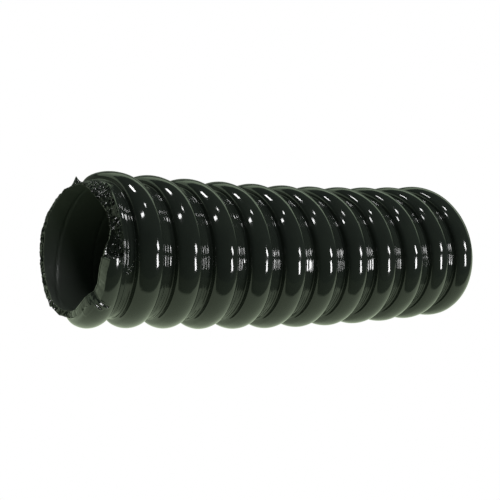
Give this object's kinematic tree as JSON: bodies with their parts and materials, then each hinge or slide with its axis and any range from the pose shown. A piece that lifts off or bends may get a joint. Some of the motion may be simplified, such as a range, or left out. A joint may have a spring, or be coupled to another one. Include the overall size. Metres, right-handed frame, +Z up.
{
  "type": "flexible air duct",
  "caption": "Short length of flexible round air duct: a soft domed strip wound right-handed into a smooth bore, stiffened by a rigid helical core; it bends sideways and up or down.",
  "frame": {"origin": "centre of the near, hand-cut end's bore", "axes": "+X is the chord from the centre of the near end to the centre of the far end, +Z is up as the duct lies on a level surface, and the arc of the duct bulges towards -Y"},
  "size_m": [0.2507, 0.086, 0.08],
  "materials": {
    "soft_pvc": "glossy soft PVC, dark bottle green to black",
    "rigid_pvc": "rigid PVC, dark green, moulded into the strip"
  },
  "bodies": {
    "near_end": {"strip_near_end": "soft_pvc", "core_near_end": "rigid_pvc"},
    "span_01": {"strip_01": "soft_pvc", "core_01": "rigid_pvc"},
    "span_02": {"strip_02": "soft_pvc", "core_02": "rigid_pvc"},
    "span_03": {"strip_03": "soft_pvc", "core_03": "rigid_pvc"},
    "span_04": {"strip_04": "soft_pvc", "core_04": "rigid_pvc"},
    "span_05": {"strip_05": "soft_pvc", "core_05": "rigid_pvc"},
    "span_06": {"strip_06": "soft_pvc", "core_06": "rigid_pvc"},
    "span_07": {"strip_07": "soft_pvc", "core_07": "rigid_pvc"},
    "span_08": {"strip_08": "soft_pvc", "core_08": "rigid_pvc"},
    "span_09": {"strip_09": "soft_pvc", "core_09": "rigid_pvc"},
    "span_10": {"strip_10": "soft_pvc", "core_10": "rigid_pvc"},
    "span_11": {"strip_11": "soft_pvc", "core_11": "rigid_pvc"},
    "span_12": {"strip_12": "soft_pvc", "core_12": "rigid_pvc"},
    "far_end": {"strip_far_end": "soft_pvc", "core_far_end": "rigid_pvc"}
  },
  "joints": [
    {"name": "bend_up_01", "type": "hinge", "parent": "near_end", "child": "span_01", "pos_m": [0.0256, -0.00268, 0], "axis": [-0.0942, -0.9956, 0], "range_deg": [-12, 12], "stiffness_Nm_per_rad": 15, "deforming": ["strip_near_end", "strip_01"]},
    {"name": "bend_side_01", "type": "hinge", "parent": "span_01", "child": "span_02", "pos_m": [0.04137, -0.00402, 0], "axis": [0, 0, 1], "range_deg": [-12, 12], "stiffness_Nm_per_rad": 15, "deforming": ["strip_02"]},
    {"name": "bend_up_02", "type": "hinge", "parent": "span_02", "child": "span_03", "pos_m": [0.05716, -0.00511, 0], "axis": [-0.0616, -0.9981, 0], "range_deg": [-12, 12], "stiffness_Nm_per_rad": 15, "deforming": ["strip_03"]},
    {"name": "bend_side_02", "type": "hinge", "parent": "span_03", "child": "span_04", "pos_m": [0.07296, -0.00596, 0], "axis": [0, 0, 1], "range_deg": [-12, 12], "stiffness_Nm_per_rad": 15, "deforming": ["strip_04"]},
    {"name": "bend_up_03", "type": "hinge", "parent": "span_04", "child": "span_05", "pos_m": [0.08877, -0.00658, 0], "axis": [-0.0312, -0.9995, 0], "range_deg": [-12, 12], "stiffness_Nm_per_rad": 15, "deforming": ["strip_05"]},
    {"name": "bend_side_03", "type": "hinge", "parent": "span_05", "child": "span_06", "pos_m": [0.10459, -0.00695, 0], "axis": [0, 0, 1], "range_deg": [-12, 12], "stiffness_Nm_per_rad": 15, "deforming": ["strip_06"]},
    {"name": "bend_up_04", "type": "hinge", "parent": "span_06", "child": "span_07", "pos_m": [0.12042, -0.00709, 0], "axis": [-0.0009, -1, 0], "range_deg": [-12, 12], "stiffness_Nm_per_rad": 15, "deforming": ["strip_07"]},
    {"name": "bend_side_04", "type": "hinge", "parent": "span_07", "child": "span_08", "pos_m": [0.13624, -0.00698, 0], "axis": [0, 0, 1], "range_deg": [-12, 12], "stiffness_Nm_per_rad": 15, "deforming": ["strip_08"]},
    {"name": "bend_up_05", "type": "hinge", "parent": "span_08", "child": "span_09", "pos_m": [0.15206, -0.00663, 0], "axis": [0.0295, -0.9996, 0], "range_deg": [-12, 12], "stiffness_Nm_per_rad": 15, "deforming": ["strip_09"]},
    {"name": "bend_side_05", "type": "hinge", "parent": "span_09", "child": "span_10", "pos_m": [0.16788, -0.00605, 0], "axis": [0, 0, 1], "range_deg": [-12, 12], "stiffness_Nm_per_rad": 15, "deforming": ["strip_10"]},
    {"name": "bend_up_06", "type": "hinge", "parent": "span_10", "child": "span_11", "pos_m": [0.18368, -0.00522, 0], "axis": [0.0598, -0.9982, 0], "range_deg": [-12, 12], "stiffness_Nm_per_rad": 15, "deforming": ["strip_11"]},
    {"name": "bend_side_06", "type": "hinge", "parent": "span_11", "child": "span_12", "pos_m": [0.19947, -0.00415, 0], "axis": [0, 0, 1], "range_deg": [-12, 12], "stiffness_Nm_per_rad": 15, "deforming": ["strip_12"]},
    {"name": "bend_up_07", "type": "hinge", "parent": "span_12", "child": "far_end", "pos_m": [0.21524, -0.00285, 0], "axis": [0.0929, -0.9957, 0], "range_deg": [-12, 12], "stiffness_Nm_per_rad": 15, "deforming": ["strip_far_end"]}
  ],
  "couplings": [
    {"joint": "bend_up_02", "follows": "bend_up_01", "ratio": 1},
    {"joint": "bend_side_02", "follows": "bend_side_01", "ratio": 1},
    {"joint": "bend_up_03", "follows": "bend_up_01", "ratio": 1},
    {"joint": "bend_side_03", "follows": "bend_side_01", "ratio": 1},
    {"joint": "bend_up_04", "follows": "bend_up_01", "ratio": 1},
    {"joint": "bend_side_04", "follows": "bend_side_01", "ratio": 1},
    {"joint": "bend_up_05", "follows": "bend_up_01", "ratio": 1},
    {"joint": "bend_side_05", "follows": "bend_side_01", "ratio": 1},
    {"joint": "bend_up_06", "follows": "bend_up_01", "ratio": 1},
    {"joint": "bend_side_06", "follows": "bend_side_01", "ratio": 1},
    {"joint": "bend_up_07", "follows": "bend_up_01", "ratio": 1}
  ]
}
